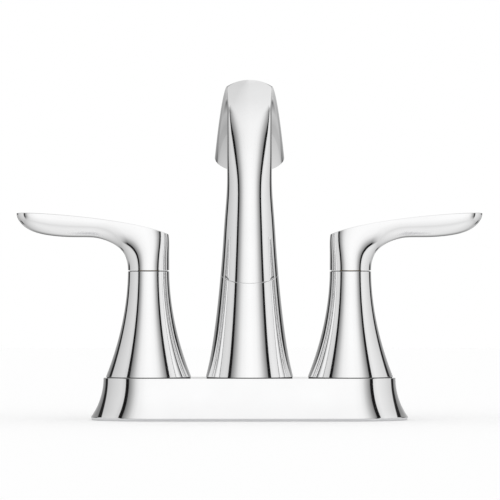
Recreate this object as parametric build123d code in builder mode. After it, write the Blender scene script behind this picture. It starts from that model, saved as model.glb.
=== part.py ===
from build123d import *
import os
from math import cos, pi, radians, sin, sqrt, tan

# Centerset bathroom faucet: one deck plate that carries a fixed arched spout and two lever handles,
# with a quarter-turn disc valve under each handle.
# The origin is the middle of the underside, on the sink deck. Z is up, and the user stands towards -Y.
# Hot is at -X and cold at +X. All sizes are in millimetres.

os.makedirs("parts", exist_ok=True)

# Layout
CENTRES = 101.6  # between the handle axes, and between the two deck holes
SIDES = {"hot": -1, "cold": 1}
HALF_CENTRES = CENTRES / 2
HALF_TURN = 180.0  # degrees

# Clearances
THREAD_FIT = 0.1  # radial, where one piece screws or slides onto another
TURN_FIT = 0.1  # radial, around pieces that turn
FACE_FIT = 0.05  # between faces that turn on each other
SEAL_FIT = 0.04  # radial, around seals
SHANK_HOLE_FIT = 0.3  # radial, around the shanks in the mounting plate
CUP_HOLE_FIT = 0.5  # radial, around the valve cups where they pass the deck plate
BOSS_HOLE_FIT = 0.4  # radial, around the centre boss where it passes the deck plate
LOCKNUT_HOLE_FIT = 0.4  # radial, around the locknut's corners inside the hub's gasket
CUT_SPARE = 1.0  # how far a cut reaches past the surface that it opens

# Deck plate
PLATE_HEIGHT = 21.2
PLATE_TOP_R = 22.7
LIP_R = 29.0
LIP_HEIGHT = 1.5
PLATE_WALL = 2.5
PLATE_TOP_WALL = 3.0
PLATE_EDGE_R = 0.5
GASKET_THICKNESS = 0.4
GASKET_INSET = 0.4  # how far a gasket stays inside the foot that it seals

# Mounting plate, inset in the rim of the deck plate
MOUNTING_PLATE_THICKNESS = 2.5
MOUNTING_RIM_WALL = 2.3
MOUNTING_PLATE_FIT = 0.2

# Waterway body
SHANK_R = 10.45
SHANK_LENGTH = 48.0
SHANK_BORE_R = 6.0
SUPPLY_THREAD_LENGTH = 11.0
RELIEF_WIDTH = 1.5
RELIEF_DEPTH = 0.8
FOOT_R = 13.5
FOOT_HEIGHT = 2.5
CUP_R = 12.5
CUP_TOP = 28.0
CUP_BORE_R = 9.0
CUP_FLOOR = 6.0
COLLAR_R = 15.0
COLLAR_HEIGHT = 3.5
CHAMBER_R = 10.5
CHAMBER_BOTTOM = 8.5
CHAMBER_TOP = 17.0
CROSS_TUBE_R = 5.0
CROSS_TUBE_BORE_R = 3.5
CROSS_TUBE_Z = 12.5
BOSS_R = 11.0
BOSS_BOTTOM = 4.0
BOSS_TOP = 30.0
BOSS_CHAMBER_R = 6.5
BOSS_CHAMBER_BOTTOM = 6.5
BOSS_CHAMBER_TOP = 17.0

# Nuts
LOCKNUT_FLATS = 30.0
LOCKNUT_HEIGHT = 4.0
BONNET_FLATS = 26.0
BONNET_WEB = 2.5
BONNET_GAP = 0.4
MOUNTING_NUT_R = 16.0
MOUNTING_NUT_HEIGHT = 12.0
MOUNTING_NUT_TOP = -22.0
WING_SPAN = 50.0
WING_THICKNESS = 4.0

# Quarter-turn cartridge
SEAL_BORE_R = 4.0
SEAL_THICKNESS = 2.0
DISC_R = 7.5
DISC_THICKNESS = 2.5
PORT_R = 6.2
PORT_WEB_R = 1.5
PORT_ANGLE = 64.0
TONGUE_WIDTH = 5.0
TONGUE_DEPTH = 0.9
STEM_HEAD_R = 7.4
STEM_R = 5.4
STEM_HEAD_BOTTOM = 15.4
STEM_HEAD_HEIGHT = 3.0
SPLINE_R = 4.0
SPLINE_LENGTH = 11.5
SPLINE_END_GAP = 0.5  # between the end of the spline and the bottom of its socket
SPLINE_TEETH = 16
SPLINE_DEPTH = 0.4
SLEEVE_R = 8.9
SLEEVE_NECK_R = 8.0
SLEEVE_NECK_TOP = 46.0
SLEEVE_FLANGE_R = 12.3
SLEEVE_FLANGE_HEIGHT = 2.5
SLEEVE_FOOT_GAP = 0.2
WINDOW_HEIGHT = 2.2
WINDOW_WIDTH = 9.0
STEM_RING_Z = 40.0
STEM_RING_CORD_R = 0.6
SLEEVE_RING_Z = 22.5
SLEEVE_RING_CORD_R = 0.6

# Hubs
HUB_FOOT_R = 21.5
HUB_TOP_R = 10.4
HUB_TOP = 74.8
HUB_FLARE = 1.88  # power of the flare: 1 is a straight cone, 2 a parabola
HUB_WALL = 1.8
HUB_WEB_BOTTOM = 35.0
HUB_WEB_HEIGHT = 3.5
HUB_TOP_WEB = 2.6
GLIDE_RING_R = 7.2
GLIDE_FLANGE_R = HUB_TOP_R - 0.8
GLIDE_FLANGE_HEIGHT = 0.3

# Handles, measured from the handle axis along the lever ("reach") and up from the handle's foot
HANDLE_GAP = 0.5
PIVOT_REACH = 29.0  # the neck's sections fan out from a line across the lever, level with its foot
LEVER_TIP = 66.5
TOP_LINE = ((-10.4, 17.8), (9.1, 26.4), (64.0, 29.6), (66.5, 28.5))
# Neck sections: fan angle, nearest, widest and furthest distance from the fan's line, half width
NECK_SECTIONS = (
    (174, 18.62, 29.1, 39.6, 10.30),
    (167, 18.68, 29.3, 40.4, 9.85),
    (160, 18.72, 29.6, 41.9, 9.20),
    (152, 18.62, 29.8, 43.6, 8.45),
    (143, 18.20, 29.8, 44.0, 7.75),
    (133, 17.55, 29.2, 42.8, 7.25),
    (120, 16.90, 28.2, 40.0, 7.05),
    (105, 16.55, 26.8, 37.2, 7.12),
)
# Lever sections: reach, underside height, widest height, half width
LEVER_SECTIONS = (
    (29.0, 16.6, 26.1, 7.3),
    (38.0, 16.7, 26.9, 7.5),
    (47.0, 17.2, 27.6, 7.8),
    (54.0, 18.3, 28.1, 8.0),
    (59.0, 19.9, 28.6, 7.9),
    (62.5, 22.0, 28.7, 6.9),
    (64.8, 24.4, 28.7, 5.0),
    (66.1, 26.7, 28.6, 2.6),
)
LEVER_SPARE = 9.0  # height of the lever's sections above their widest place, cut off by the top line
HANDLE_EDGE_R = 0.3
SET_SCREW_R = 2.4
SET_SCREW_LENGTH = 5.0
SET_SCREW_HEX = 2.5
SET_SCREW_HEIGHT = 6.0

# Spout column and arch
COLUMN_FOOT_R = 22.0
SPOUT_NECK_R = 11.3
COLUMN_CURVE_TOP = 132.0
COLUMN_HANDLE_LOW = (14.84, 47.9)  # where the column's curve is pulled: radius, height
COLUMN_HANDLE_TOP = 114.8
ARCH_START = 99.0
ARCH_R = 64.0
ARCH_ANGLE = 150.0
SEAM_HEIGHT = 73.6
SEAM_TILT = 18.0
SEAM_BEVEL = 0.35
OUTLET_EDGE_R = 0.4
CROWN_ANGLE = 33.0  # half angle of the crowned top face
ROUND_SHARE = 0.998  # corner radius of the column's round sections, just under 1 to keep their arcs apart
# Arch sections: angle along the arch, half width, corner radius, height above and depth below the spine
ARCH_SECTIONS = (
    (28, 11.30, 11.20, 11.30, 11.30),
    (42, 11.25, 7.00, 10.95, 10.90),
    (56, 11.25, 2.60, 10.50, 10.30),
    (70, 11.40, 0.90, 10.20, 9.80),
    (90, 12.10, 0.80, 10.00, 9.30),
    (110, 13.70, 0.80, 10.20, 9.30),
    (130, 15.90, 0.80, 10.80, 9.60),
    (150, 18.20, 0.80, 11.50, 10.20),
)
BASE_WALL = 2.6
BASE_SOCKET_FLOOR = 57.0
SPIGOT_R = 11.9
SPOUT_BORE_R = 7.0
SPOUT_WEB = 8.0
BASE_SCREW_Y = 14.8
BASE_SCREW_R = 2.0
BASE_SCREW_HEAD_R = 3.3
BASE_SCREW_HEAD_HEIGHT = 2.8
BASE_SCREW_LENGTH = 13.0
SCREW_BOSS_R = 3.6
SCREW_BOSS_WEB = 2.0  # metal over the end of the screw's hole
SCREW_END_GAP = 1.0  # between the screw's end and the bottom of its hole

# Spout tube and aerator
TUBE_R = 4.75
TUBE_BORE_R = 3.4
TUBE_FOOT = 18.0
TUBE_RING_HEIGHTS = (21.5, 26.0)
TUBE_RING_CORD_R = 0.6
AERATOR_R = 8.9
AERATOR_DEPTH = 12.0
AERATOR_RECESS = 0.5
AERATOR_BORE_R = 7.2
AERATOR_WEB = 2.4
WASHER_THICKNESS = 1.6
WASHER_FIT = 0.3  # radial, inside the aerator's pocket
SCREEN_THICKNESS = 1.4
SCREEN_INSET = 1.2
SCREEN_PITCH = 2.6
SCREEN_HOLE = 1.8


def upright(x, outward=1):
    """Profile plane on a vertical axis: local x points outward, and local y points up."""
    return Plane(origin=(x, 0, 0), x_dir=(outward, 0, 0), z_dir=(0, -outward, 0))


def vertical(x):
    """Vertical axis through a point on the line of the handles."""
    return Axis((x, 0, 0), (0, 0, 1))


def save(piece, name):
    """Label a finished piece and write its STEP file."""
    piece.part.label = name
    export_step(piece.part, f"parts/{name}.step")


def o_ring(cord_r, mid_r, place):
    """A ring of round cord, centred on a plane's origin and lying in that plane."""
    with BuildPart() as ring:
        with Locations(place):
            Torus(mid_r, cord_r)
    return ring.part


# Deck plate: a flared stadium, turned at both ends and straight between them
def flare_section(foot_r, lip_z, top_r, top_z, edge_r=0.0):
    """Half section of the plate: an upright lip, then a hollow arc that ends upright at the top."""
    with BuildSketch() as section:
        with BuildLine():
            Polyline((0, top_z), (0, 0), (foot_r, 0), (foot_r, lip_z))
            TangentArc((top_r, top_z), (foot_r, lip_z), tangent=(0, -1))
            Line((top_r, top_z), (0, top_z))
        make_face()
        if edge_r:
            fillet(section.vertices().sort_by_distance((top_r, top_z))[0], edge_r)
    return section.sketch


def stadium(section):
    """Carry a half section round the plate."""
    with BuildPart() as body:
        for x in (-HALF_CENTRES, HALF_CENTRES):
            with BuildSketch(upright(x)):
                add(section)
            revolve(axis=vertical(x))
        with BuildSketch(Plane.YZ):
            add(section)
            mirror(about=Plane.YZ)
        extrude(amount=HALF_CENTRES, both=True)
    return body.part


cavity_top = PLATE_HEIGHT - PLATE_TOP_WALL
rim_r = LIP_R - MOUNTING_RIM_WALL
boss_hole_r = BOSS_R + BOSS_HOLE_FIT
cup_hole_r = CUP_R + CUP_HOLE_FIT
screw_places = [(0, y) for y in (-BASE_SCREW_Y, BASE_SCREW_Y)]
handle_places = [(x, 0) for x in (-HALF_CENTRES, HALF_CENTRES)]

with BuildPart() as deck_plate:
    add(stadium(flare_section(LIP_R, LIP_HEIGHT, PLATE_TOP_R, PLATE_HEIGHT, PLATE_EDGE_R)))
    cavity = flare_section(rim_r - PLATE_WALL / 2, LIP_HEIGHT, PLATE_TOP_R - PLATE_WALL, cavity_top)
    add(stadium(cavity), mode=Mode.SUBTRACT)
    with BuildSketch():
        SlotCenterToCenter(CENTRES, 2 * rim_r)
    extrude(amount=MOUNTING_PLATE_THICKNESS, mode=Mode.SUBTRACT)
    with BuildSketch(Plane.XY.offset(PLATE_HEIGHT)):
        with Locations(*handle_places):
            Circle(cup_hole_r)
        with Locations((0, 0)):
            Circle(boss_hole_r)
        with Locations(*screw_places):
            Circle(BASE_SCREW_R + THREAD_FIT)
    extrude(amount=-PLATE_TOP_WALL, mode=Mode.SUBTRACT)
save(deck_plate, "deck_plate")

with BuildPart() as mounting_plate:
    with BuildSketch():
        SlotCenterToCenter(CENTRES, 2 * (rim_r - MOUNTING_PLATE_FIT))
        with Locations(*handle_places):
            Circle(SHANK_R + SHANK_HOLE_FIT, mode=Mode.SUBTRACT)
    extrude(amount=MOUNTING_PLATE_THICKNESS)
save(mounting_plate, "mounting_plate")

# Waterway body: shanks, valve cups, cross tube and centre boss, brazed into one piece
relief_bottom = SUPPLY_THREAD_LENGTH - SHANK_LENGTH
foot_bottom = MOUNTING_PLATE_THICKNESS
foot_top = foot_bottom + FOOT_HEIGHT
collar_bottom = cavity_top - COLLAR_HEIGHT
tube_socket_r = TUBE_R + SEAL_FIT * 2
tube_gland_r = TUBE_R + 2 * (TUBE_RING_CORD_R + SEAL_FIT)

with BuildPart() as waterway_body:
    for x in (-HALF_CENTRES, HALF_CENTRES):
        with BuildSketch(upright(x)):
            with BuildLine():
                Polyline(
                    (0, -SHANK_LENGTH),
                    (SHANK_R, -SHANK_LENGTH),
                    (SHANK_R, relief_bottom),
                    (SHANK_R - RELIEF_DEPTH, relief_bottom),
                    (SHANK_R - RELIEF_DEPTH, relief_bottom + RELIEF_WIDTH),
                    (SHANK_R, relief_bottom + RELIEF_WIDTH),
                    (SHANK_R, foot_bottom),
                    (FOOT_R, foot_bottom),
                    (FOOT_R, foot_top),
                    (CUP_R, foot_top),
                    (CUP_R, collar_bottom),
                    (COLLAR_R, collar_bottom),
                    (COLLAR_R, cavity_top),
                    (CUP_R, cavity_top),
                    (CUP_R, CUP_TOP),
                    (0, CUP_TOP),
                    close=True,
                )
            make_face()
        revolve(axis=vertical(x))
    with BuildSketch(Plane.XY.offset(BOSS_BOTTOM)):
        Circle(BOSS_R)
    extrude(amount=BOSS_TOP - BOSS_BOTTOM)
    with BuildSketch(Plane.YZ):
        with Locations((0, CROSS_TUBE_Z)):
            Circle(CROSS_TUBE_R)
    extrude(amount=HALF_CENTRES, both=True)
    for x in (-HALF_CENTRES, HALF_CENTRES):
        with BuildSketch(upright(x)):
            with BuildLine():
                Polyline(
                    (0, -SHANK_LENGTH),
                    (SHANK_BORE_R, -SHANK_LENGTH),
                    (SHANK_BORE_R, CUP_FLOOR),
                    (CUP_BORE_R, CUP_FLOOR),
                    (CUP_BORE_R, CHAMBER_BOTTOM),
                    (CHAMBER_R, CHAMBER_BOTTOM),
                    (CHAMBER_R, CHAMBER_TOP),
                    (CUP_BORE_R, CHAMBER_TOP),
                    (CUP_BORE_R, CUP_TOP),
                    (0, CUP_TOP),
                    close=True,
                )
            make_face()
        revolve(axis=vertical(x), mode=Mode.SUBTRACT)
    with BuildSketch(Plane.YZ):
        with Locations((0, CROSS_TUBE_Z)):
            Circle(CROSS_TUBE_BORE_R)
    extrude(amount=HALF_CENTRES - CUP_BORE_R / 2, both=True, mode=Mode.SUBTRACT)
    with BuildSketch(upright(0)):
        with BuildLine():
            Polyline(
                (0, BOSS_CHAMBER_BOTTOM),
                (BOSS_CHAMBER_R, BOSS_CHAMBER_BOTTOM),
                (BOSS_CHAMBER_R, BOSS_CHAMBER_TOP),
                (tube_socket_r, BOSS_CHAMBER_TOP),
                (tube_socket_r, BOSS_TOP),
                (0, BOSS_TOP),
                close=True,
            )
        make_face()
    revolve(axis=vertical(0), mode=Mode.SUBTRACT)
    for z in TUBE_RING_HEIGHTS:
        with BuildSketch(Plane.XY.offset(z)):
            Circle(tube_gland_r)
        extrude(amount=TUBE_RING_CORD_R + SEAL_FIT, both=True, mode=Mode.SUBTRACT)
save(waterway_body, "waterway_body")

# Spout: one outer form, cut by the oblique seam into the column's base and the arched spout
gasket_top = PLATE_HEIGHT + GASKET_THICKNESS
arch_end = radians(ARCH_ANGLE)
spout_end = Vector(0, -ARCH_R + ARCH_R * cos(arch_end), ARCH_START + ARCH_R * sin(arch_end))
flow = Vector(0, -sin(arch_end), cos(arch_end))
outlet = Plane(origin=spout_end, x_dir=(1, 0, 0), z_dir=flow)
seam = Plane(
    origin=(0, 0, SEAM_HEIGHT),
    x_dir=(1, 0, 0),
    z_dir=(0, sin(radians(SEAM_TILT)), cos(radians(SEAM_TILT))),
)


def column_point(t):
    """Radius and height on the column's outline, a cubic curve from its foot to the neck of the spout."""
    ends = (COLUMN_FOOT_R, COLUMN_HANDLE_LOW[0], SPOUT_NECK_R, SPOUT_NECK_R)
    heights = (gasket_top, COLUMN_HANDLE_LOW[1], COLUMN_HANDLE_TOP, COLUMN_CURVE_TOP)
    weights = ((1 - t) ** 3, 3 * t * (1 - t) ** 2, 3 * t**2 * (1 - t), t**3)
    return tuple(sum(w * v for w, v in zip(weights, values)) for values in (ends, heights))


def spine_plane(distance):
    """Section plane at a distance up the spine: straight to the start of the arch, then round it."""
    if distance <= ARCH_START:
        return Plane(origin=(0, 0, distance), x_dir=(1, 0, 0), z_dir=(0, 0, 1))
    turn = (distance - ARCH_START) / ARCH_R
    centre = (0, -ARCH_R + ARCH_R * cos(turn), ARCH_START + ARCH_R * sin(turn))
    return Plane(origin=centre, x_dir=(1, 0, 0), z_dir=(0, -sin(turn), cos(turn)))


def spout_section(width, corner_r, rise, drop):
    """Section across the spine: crowned top face, two corners, and a half ellipse underneath."""
    sine = sin(radians(CROWN_ANGLE))
    cosine = cos(radians(CROWN_ANGLE))
    crown_r = (width - corner_r * (1 - sine)) / sine
    crown_mid = rise - crown_r
    corner_x = (crown_r - corner_r) * sine
    corner_y = crown_mid + (crown_r - corner_r) * cosine
    with BuildSketch() as section:
        with BuildLine():
            CenterArc((corner_x, corner_y), corner_r, 0, 90 - CROWN_ANGLE)
            CenterArc((0, crown_mid), crown_r, 90 - CROWN_ANGLE, 2 * CROWN_ANGLE)
            CenterArc((-corner_x, corner_y), corner_r, 90 + CROWN_ANGLE, 90 - CROWN_ANGLE)
            EllipticalCenterArc((0, corner_y), width, corner_y + drop, HALF_TURN, arc_size=HALF_TURN)
        make_face()
    return section.sketch


with BuildPart() as spout_form:
    for t in (0, 0.12, 0.26, 0.42, 0.6, 0.8):
        radius, distance = column_point(t)
        with BuildSketch(spine_plane(distance)):
            add(spout_section(radius, ROUND_SHARE * radius, radius, radius))
    for angle, width, corner_r, rise, drop in ARCH_SECTIONS:
        with BuildSketch(spine_plane(ARCH_START + ARCH_R * radians(angle))):
            add(spout_section(width, corner_r, rise, drop))
    loft()

socket_r = SPIGOT_R + THREAD_FIT
boss_drill_top = gasket_top + BASE_SCREW_LENGTH

with BuildPart() as spout_base:
    add(spout_form.part)
    split(bisect_by=seam, keep=Keep.BOTTOM)
    seam_face = spout_base.faces().filter_by(GeomType.PLANE).sort_by(Axis.Z)[-1]
    chamfer(seam_face.edges(), SEAM_BEVEL)
    with BuildSketch(upright(0)):
        with BuildLine():
            low = [column_point(t) for t in (0, 0.1, 0.2, 0.3)]
            inside = Spline(*[(r - BASE_WALL, z) for r, z in low])
            ceiling = [(socket_r, BASE_SOCKET_FLOOR), (0, BASE_SOCKET_FLOOR)]
            Polyline(inside @ 1, *ceiling, (0, gasket_top), inside @ 0)
        make_face()
    revolve(axis=vertical(0), mode=Mode.SUBTRACT)
    with BuildSketch(Plane.XY.offset(gasket_top)):
        with Locations(*screw_places):
            Circle(SCREW_BOSS_R)
    extrude(amount=BASE_SCREW_LENGTH + SCREW_BOSS_WEB)
    with BuildSketch(Plane.XY.offset(gasket_top)):
        with Locations(*screw_places):
            Circle(BASE_SCREW_R + THREAD_FIT)
    extrude(amount=BASE_SCREW_LENGTH, mode=Mode.SUBTRACT)
    with BuildSketch(Plane.XY.offset(BASE_SOCKET_FLOOR)):
        Circle(socket_r)
    extrude(amount=2 * (SEAM_HEIGHT - BASE_SOCKET_FLOOR), mode=Mode.SUBTRACT)
save(spout_base, "spout_base")

with BuildPart() as spout_base_gasket:
    with BuildSketch(Plane.XY.offset(PLATE_HEIGHT)):
        Circle(COLUMN_FOOT_R - GASKET_INSET)
        Circle(boss_hole_r, mode=Mode.SUBTRACT)
        with Locations(*screw_places):
            Circle(BASE_SCREW_R + THREAD_FIT, mode=Mode.SUBTRACT)
    extrude(amount=GASKET_THICKNESS)
save(spout_base_gasket, "spout_base_gasket")

with BuildPart() as spout_base_screws:
    for place in screw_places:
        with BuildSketch(Plane.XY.offset(cavity_top)):
            with Locations(place):
                Circle(BASE_SCREW_HEAD_R)
        extrude(amount=-BASE_SCREW_HEAD_HEIGHT)
        with BuildSketch(Plane.XY.offset(cavity_top)):
            with Locations(place):
                Circle(BASE_SCREW_R)
        extrude(amount=boss_drill_top - cavity_top - SCREW_END_GAP)
save(spout_base_screws, "spout_base_screws")


def spine_path(start, end):
    """The spine between two distances along it, as a straight run and an arc that is tangent to it."""
    turn = (end - ARCH_START) / ARCH_R
    with BuildLine(Plane.YZ) as path:
        Line((0, start), (0, ARCH_START))
        CenterArc((-ARCH_R, ARCH_START), ARCH_R, 0, turn * 180 / pi)
    return path.line


def bore(radius, start, end):
    """A round bar along the spine, to cut a bore or to make a tube."""
    with BuildPart() as bar:
        with BuildSketch(spine_plane(start)):
            Circle(radius)
        sweep(path=spine_path(start, end))
    return bar.part


spine_length = ARCH_START + ARCH_R * arch_end
pocket_floor = spine_length - AERATOR_DEPTH
spigot_foot = BASE_SOCKET_FLOOR + THREAD_FIT

with BuildPart() as spout:
    add(spout_form.part)
    split(bisect_by=seam, keep=Keep.TOP)
    outlet_face = spout.faces().filter_by(GeomType.PLANE).sort_by(Axis.Y)[0]
    fillet(outlet_face.edges(), OUTLET_EDGE_R)
    with BuildSketch(Plane.XY.offset(spigot_foot)):
        Circle(SPIGOT_R)
    extrude(amount=SEAM_HEIGHT + SPIGOT_R - spigot_foot)
    add(bore(SPOUT_BORE_R, spigot_foot - CUT_SPARE, pocket_floor - SPOUT_WEB), mode=Mode.SUBTRACT)
    add(bore(tube_socket_r, spigot_foot - CUT_SPARE, spine_length), mode=Mode.SUBTRACT)
    with BuildSketch(outlet):
        Circle(AERATOR_R + THREAD_FIT)
    extrude(amount=-AERATOR_DEPTH, mode=Mode.SUBTRACT)
save(spout, "spout")

with BuildPart() as spout_tube:
    add(bore(TUBE_R, TUBE_FOOT, spine_length))
    add(bore(TUBE_BORE_R, TUBE_FOOT, spine_length), mode=Mode.SUBTRACT)
    with BuildSketch(outlet):
        Circle(AERATOR_R)
    extrude(amount=-AERATOR_DEPTH, mode=Mode.SUBTRACT)
save(spout_tube, "spout_tube")

with BuildPart() as spout_tube_o_rings:
    for z in TUBE_RING_HEIGHTS:
        add(o_ring(TUBE_RING_CORD_R, TUBE_R + SEAL_FIT + TUBE_RING_CORD_R, Location((0, 0, z))))
save(spout_tube_o_rings, "spout_tube_o_rings")

# Aerator, in the pocket in the spout's end face
washer_top = AERATOR_DEPTH
housing_top = washer_top - WASHER_THICKNESS
screen_bottom = AERATOR_RECESS + SCREEN_INSET
cell_count = int(2 * (AERATOR_BORE_R - SCREEN_PITCH / 2) / SCREEN_PITCH)

with BuildPart() as aerator_washer:
    with BuildSketch(outlet.offset(-washer_top)):
        Circle(AERATOR_R - WASHER_FIT)
        Circle(TUBE_BORE_R, mode=Mode.SUBTRACT)
    extrude(amount=WASHER_THICKNESS)
save(aerator_washer, "aerator_washer")

with BuildPart() as aerator_housing:
    with BuildSketch(outlet.offset(-housing_top)):
        Circle(AERATOR_R)
    extrude(amount=housing_top - AERATOR_RECESS)
    with BuildSketch(outlet.offset(-AERATOR_RECESS)):
        Circle(AERATOR_BORE_R)
    extrude(amount=-(housing_top - AERATOR_RECESS - AERATOR_WEB), mode=Mode.SUBTRACT)
    with BuildSketch(outlet.offset(-housing_top)):
        Circle(TUBE_BORE_R)
    extrude(amount=AERATOR_WEB, mode=Mode.SUBTRACT)
save(aerator_housing, "aerator_housing")

with BuildPart() as aerator_screen:
    with BuildSketch(outlet.offset(-screen_bottom)):
        Circle(AERATOR_BORE_R - SEAL_FIT)
        with BuildSketch(mode=Mode.SUBTRACT):
            with GridLocations(SCREEN_PITCH, SCREEN_PITCH, cell_count, cell_count):
                Rectangle(SCREEN_HOLE, SCREEN_HOLE)
            Circle(AERATOR_BORE_R - SCREEN_PITCH / 2, mode=Mode.INTERSECT)
    extrude(amount=-SCREEN_THICKNESS)
save(aerator_screen, "aerator_screen")


# Pieces that both sides share, made on the handle axis of each side
def hub_radius(z):
    """Hub's outer radius: a flare that ends upright at the top, with the given power of the distance."""
    share = (HUB_TOP - z) / (HUB_TOP - gasket_top)
    return HUB_TOP_R + (HUB_FOOT_R - HUB_TOP_R) * share**HUB_FLARE


def hub_curve(bottom, top, inset=0.0):
    """Points on the hub's flare between two heights, moved inwards by a wall."""
    steps = 5
    heights = [bottom + (top - bottom) * i / steps for i in range(steps + 1)]
    return [(hub_radius(z) - inset, z) for z in heights]


def wedge_ports():
    """Two opposite wedge-shaped ports, as in a quarter-turn disc valve."""
    half = radians(PORT_ANGLE / 2)
    reach = 2 * PORT_R
    with BuildSketch() as ports:
        with PolarLocations(0, 2):
            Polygon((0, 0), (reach, -reach * tan(half)), (reach, reach * tan(half)), align=None)
        Circle(PORT_R, mode=Mode.INTERSECT)
        Circle(PORT_WEB_R, mode=Mode.SUBTRACT)
    return ports.sketch


sleeve_foot = CUP_FLOOR + SLEEVE_FOOT_GAP
sleeve_bore_r = DISC_R + TURN_FIT
stem_bore_r = STEM_R + TURN_FIT
fixed_disc_bottom = CUP_FLOOR + SEAL_THICKNESS
moving_disc_bottom = fixed_disc_bottom + DISC_THICKNESS + FACE_FIT
moving_disc_top = moving_disc_bottom + DISC_THICKNESS
tongue_bottom = moving_disc_top - TONGUE_DEPTH + FACE_FIT
stem_head_top = STEM_HEAD_BOTTOM + STEM_HEAD_HEIGHT
sleeve_shoulder = stem_head_top + FACE_FIT
flange_top = CUP_TOP + SLEEVE_FLANGE_HEIGHT
bonnet_bottom = PLATE_HEIGHT + LOCKNUT_HEIGHT + BONNET_GAP
locknut_corner_r = LOCKNUT_FLATS / sqrt(3)
handle_foot = HUB_TOP + HANDLE_GAP
stem_groove_r = STEM_R + TURN_FIT - 2 * (STEM_RING_CORD_R + SEAL_FIT)
sleeve_groove_r = CUP_BORE_R - 2 * (SLEEVE_RING_CORD_R + SEAL_FIT)
window_z = (moving_disc_top + CHAMBER_TOP) / 2


def spline_sketch(clearance=0.0):
    """Toothed outline of the stem's spline, or of the socket that fits it."""
    tips = SPLINE_R + clearance
    roots = SPLINE_R - SPLINE_DEPTH + clearance
    points = []
    for i in range(2 * SPLINE_TEETH):
        radius = roots if i % 2 else tips
        angle = pi * i / SPLINE_TEETH
        points.append((radius * cos(angle), radius * sin(angle)))
    with BuildSketch() as outline:
        Polygon(*points, align=None)
    return outline.sketch


def fan_plane(axis_x, outward, angle, distance):
    """Plane that stands on the fan's line at an angle, with its origin at a distance from the line."""
    cosine = cos(radians(angle))
    sine = sin(radians(angle))
    return Plane(
        origin=(axis_x + outward * (PIVOT_REACH + distance * cosine), 0, handle_foot + distance * sine),
        x_dir=(outward * cosine, 0, sine),
        z_dir=(outward * sine, 0, -cosine),
    )


def oval(near_half, far_half, half_width):
    """Handle section: two half ellipses that meet at its widest place."""
    with BuildSketch() as section:
        with BuildLine():
            EllipticalCenterArc((0, 0), far_half, half_width, -90, arc_size=HALF_TURN)
            EllipticalCenterArc((0, 0), near_half, half_width, 90, arc_size=HALF_TURN)
        make_face()
    return section.sketch


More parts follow.
